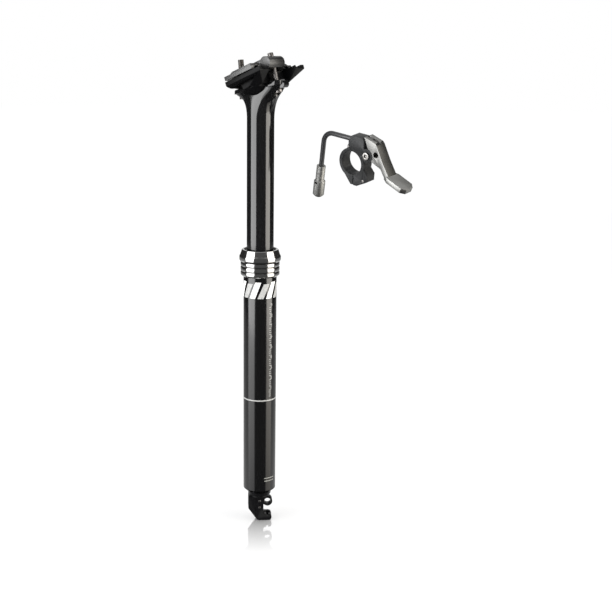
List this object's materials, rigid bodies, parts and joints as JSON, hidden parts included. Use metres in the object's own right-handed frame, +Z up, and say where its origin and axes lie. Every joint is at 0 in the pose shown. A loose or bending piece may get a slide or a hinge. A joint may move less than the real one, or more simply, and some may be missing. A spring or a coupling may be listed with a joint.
{
  "type": "dropper seatpost",
  "caption": "Telescopic bicycle seatpost with a tilting two-bolt saddle clamp, a cable lever at its foot and a thumb remote for the handlebar.",
  "frame": {"origin": "on the post's axis, at the minimum-insertion ring of the lower tube", "axes": "+Z up along the post, +X to the front of the bicycle, +Y to its left"},
  "size_m": [0.155, 0.0976, 0.4461],
  "materials": {
    "black_anodised": "black anodised, satin gloss",
    "black_gloss": "black hard anodised and polished",
    "turned_aluminium": "turned, clear anodised",
    "grey_aluminium": "bead blasted, clear anodised",
    "dark_grey_aluminium": "bead blasted, dark grey anodised",
    "cylinder_aluminium": "drawn tube",
    "polished_steel": "ground and polished",
    "plain_steel": "machined",
    "dark_steel": "black oxide",
    "key_brass": "plain",
    "seal_rubber": "matt",
    "bushing_polymer": "filled polymer",
    "dark_plastic": "moulded",
    "black_pipe": "black coated pipe"
  },
  "bodies": {
    "base": {"lower_tube": "black_anodised", "seal_collar": "turned_aluminium", "wiper_seal": "seal_rubber", "scraper_ring": "dark_plastic", "upper_bushing": "bushing_polymer", "bottom_plug": "black_anodised", "piston_rod": "polished_steel", "piston": "turned_aluminium", "piston_ring": "seal_rubber", "rod_nut": "plain_steel", "actuator_bracket": "black_anodised", "lever_pivot_pin": "plain_steel", "stop_pin": "plain_steel", "remote_body": "dark_grey_aluminium", "clamp_band": "dark_grey_aluminium", "band_hinge_pin": "plain_steel", "band_screw": "plain_steel", "remote_pivot_bolt": "polished_steel", "cable_guide": "black_pipe", "cable_barrel": "turned_aluminium", "barrel_screw": "dark_steel"},
    "upper_post": {"stanchion_head": "black_gloss", "lower_bushing": "bushing_polymer", "guide_keys": "key_brass", "gas_cylinder": "cylinder_aluminium", "rod_gland": "cylinder_aluminium", "gland_seal": "seal_rubber", "cylinder_cap": "cylinder_aluminium", "retaining_ring": "plain_steel", "top_out_ring": "seal_rubber"},
    "saddle_clamp": {"lower_cradle": "black_anodised", "upper_clamp": "grey_aluminium"},
    "front_bolt_set": {"front_bolt": "plain_steel", "front_washer": "dark_steel"},
    "rear_bolt_set": {"rear_bolt": "plain_steel", "rear_washer": "dark_steel"},
    "front_nut": {"front_barrel_nut": "plain_steel"},
    "rear_nut": {"rear_barrel_nut": "plain_steel"},
    "valve": {"valve_pin": "polished_steel"},
    "actuator": {"actuator_lever": "black_anodised"},
    "thumb_lever": {"remote_lever": "turned_aluminium", "lever_bushing": "bushing_polymer"}
  },
  "joints": [
    {"name": "post_drop", "type": "slide", "parent": "base", "child": "upper_post", "axis": [0, 0, 1], "range_m": [-0.12, 0]},
    {"name": "saddle_tilt", "type": "hinge", "parent": "upper_post", "child": "saddle_clamp", "pos_m": [0, 0, 0.3], "axis": [0, 1, 0], "range_deg": [-8, 8]},
    {"name": "front_bolt_swing", "type": "hinge", "parent": "upper_post", "child": "front_bolt_set", "pos_m": [0.0214, 0, 0.2843], "axis": [0, 1, 0], "range_deg": [-0.7, 0.7]},
    {"name": "rear_bolt_swing", "type": "hinge", "parent": "upper_post", "child": "rear_bolt_set", "pos_m": [-0.0203, 0, 0.292], "axis": [0, 1, 0], "range_deg": [-3.1, 3.1]},
    {"name": "front_nut_turn", "type": "hinge", "parent": "saddle_clamp", "child": "front_nut", "pos_m": [0.02295, 0, 0.29869], "axis": [0, 1, 0], "range_deg": [-7.5, 7.5]},
    {"name": "rear_nut_turn", "type": "hinge", "parent": "saddle_clamp", "child": "rear_nut", "pos_m": [-0.01383, 0, 0.31281], "axis": [0, 1, 0], "range_deg": [-5.1, 5.1]},
    {"name": "actuator_pull", "type": "hinge", "parent": "base", "child": "actuator", "pos_m": [0, 0, -0.1044], "axis": [0.7071, -0.7071, 0], "range_deg": [0, 20]},
    {"name": "valve_push", "type": "slide", "parent": "base", "child": "valve", "axis": [0, 0, 1], "range_m": [0, 0.0009], "stiffness_N_per_m": 3000, "springref_m": -0.0005},
    {"name": "remote_press", "type": "hinge", "parent": "base", "child": "thumb_lever", "pos_m": [-0.0845, -0.05425, 0.23282], "axis": [-0.0126, -0.985, 0.1723], "range_deg": [0, 22], "stiffness_Nm_per_rad": 1, "springref_deg": -5.73}
  ],
  "couplings": [
    {"joint": "front_bolt_swing", "follows": "saddle_tilt", "ratio": 0.08012},
    {"joint": "rear_bolt_swing", "follows": "saddle_tilt", "ratio": 0.37274},
    {"joint": "front_nut_turn", "follows": "saddle_tilt", "ratio": -0.91988},
    {"joint": "rear_nut_turn", "follows": "saddle_tilt", "ratio": -0.62726},
    {"joint": "actuator_pull", "follows": "valve_push", "rad_per_m": 387.8}
  ]
}
